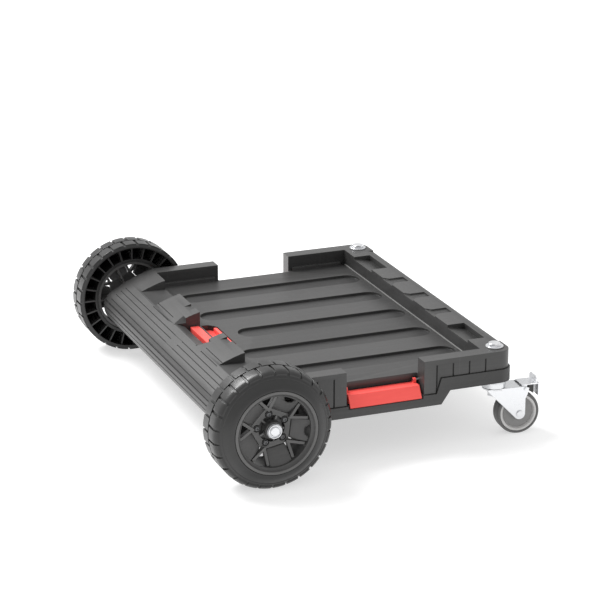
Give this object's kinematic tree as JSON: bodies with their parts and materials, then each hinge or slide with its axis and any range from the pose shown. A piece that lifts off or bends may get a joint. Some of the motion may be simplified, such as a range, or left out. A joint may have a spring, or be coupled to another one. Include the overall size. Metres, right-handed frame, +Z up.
{
  "type": "tool box cart",
  "caption": "Flat tool box cart: ribbed tray with red side and rear latches, large rear wheels on an axle and braked swivel casters in front.",
  "frame": {"origin": "on the floor, under the middle of the whole cart", "axes": "+X from the rear axle to the casters, +Y to the left side, +Z up"},
  "size_m": [0.611, 0.795, 0.203],
  "materials": {
    "charcoal_moulding": "fine-grained moulded polypropylene",
    "wheel_tread": "hard moulded tyre with block tread",
    "latch_red": "red satin moulded plastic",
    "zinc_plate": "bright zinc-plated pressed steel",
    "black_screws": "black screws",
    "bearing_grey": "grey nylon bearing bush",
    "caster_core": "grey moulded wheel core",
    "caster_rubber": "dark grey non-marking rubber"
  },
  "bodies": {
    "chassis": {"deck_tray": "charcoal_moulding", "lower_frame": "charcoal_moulding", "axle_housing": "charcoal_moulding", "rear_axle": "zinc_plate", "tray_screws": "zinc_plate", "housing_screws": "zinc_plate", "axle_washers": "zinc_plate", "axle_caps": "zinc_plate", "latch_pins": "zinc_plate", "caster_bolts": "zinc_plate", "caster_washers": "zinc_plate", "caster_nuts": "zinc_plate", "right_caster_head": "zinc_plate", "left_caster_head": "zinc_plate"},
    "rear_latch_slide": {"rear_latch": "latch_red"},
    "right_wheel": {"right_tyre": "wheel_tread", "right_rim": "charcoal_moulding", "right_hub_bush": "bearing_grey", "right_hub_screws": "black_screws"},
    "right_latch_flap": {"right_latch": "latch_red"},
    "right_caster": {"right_fork": "zinc_plate", "right_swivel_balls": "zinc_plate", "right_caster_axle": "zinc_plate", "right_axle_nut": "zinc_plate", "right_spacer": "zinc_plate", "right_pedal_pin": "zinc_plate"},
    "right_caster_wheel": {"right_caster_hub": "caster_core", "right_caster_tyre": "caster_rubber"},
    "right_brake": {"right_brake_pedal": "zinc_plate", "right_brake_shoe": "caster_rubber"},
    "left_wheel": {"left_tyre": "wheel_tread", "left_rim": "charcoal_moulding", "left_hub_bush": "bearing_grey", "left_hub_screws": "black_screws"},
    "left_latch_flap": {"left_latch": "latch_red"},
    "left_caster": {"left_fork": "zinc_plate", "left_swivel_balls": "zinc_plate", "left_caster_axle": "zinc_plate", "left_axle_nut": "zinc_plate", "left_spacer": "zinc_plate", "left_pedal_pin": "zinc_plate"},
    "left_caster_wheel": {"left_caster_hub": "caster_core", "left_caster_tyre": "caster_rubber"},
    "left_brake": {"left_brake_pedal": "zinc_plate", "left_brake_shoe": "caster_rubber"}
  },
  "joints": [
    {"name": "rear_latch_pull", "type": "slide", "parent": "chassis", "child": "rear_latch_slide", "axis": [-1, 0, 0], "range_m": [0, 0.008], "stiffness_N_per_m": 400, "springref_m": -0.004},
    {"name": "right_wheel_spin", "type": "hinge", "parent": "chassis", "child": "right_wheel", "pos_m": [-0.204, -0.36375, 0.1015], "axis": [0, 1, 0], "continuous": true},
    {"name": "right_latch_swing", "type": "hinge", "parent": "chassis", "child": "right_latch_flap", "pos_m": [0.017, -0.2955, 0.1185], "axis": [-1, 0, 0], "range_deg": [0, 120]},
    {"name": "right_caster_swivel", "type": "hinge", "parent": "chassis", "child": "right_caster", "pos_m": [0.226, -0.293, 0.086], "axis": [0, 0, 1], "continuous": true},
    {"name": "right_caster_spin", "type": "hinge", "parent": "right_caster", "child": "right_caster_wheel", "pos_m": [0.26734, -0.29662, 0.0375], "axis": [0.0872, 0.9962, 0], "continuous": true},
    {"name": "right_brake_press", "type": "hinge", "parent": "right_caster", "child": "right_brake", "pos_m": [0.27581, -0.29736, 0.0815], "axis": [0.0872, 0.9962, 0], "range_deg": [0, 7]},
    {"name": "left_wheel_spin", "type": "hinge", "parent": "chassis", "child": "left_wheel", "pos_m": [-0.204, 0.36375, 0.1015], "axis": [0, 1, 0], "continuous": true},
    {"name": "left_latch_swing", "type": "hinge", "parent": "chassis", "child": "left_latch_flap", "pos_m": [0.017, 0.2955, 0.1185], "axis": [1, 0, 0], "range_deg": [0, 120]},
    {"name": "left_caster_swivel", "type": "hinge", "parent": "chassis", "child": "left_caster", "pos_m": [0.226, 0.293, 0.086], "axis": [0, 0, 1], "continuous": true},
    {"name": "left_caster_spin", "type": "hinge", "parent": "left_caster", "child": "left_caster_wheel", "pos_m": [0.26734, 0.28938, 0.0375], "axis": [0.0872, 0.9962, 0], "continuous": true},
    {"name": "left_brake_press", "type": "hinge", "parent": "left_caster", "child": "left_brake", "pos_m": [0.27581, 0.28864, 0.0815], "axis": [0.0872, 0.9962, 0], "range_deg": [0, 7]}
  ]
}
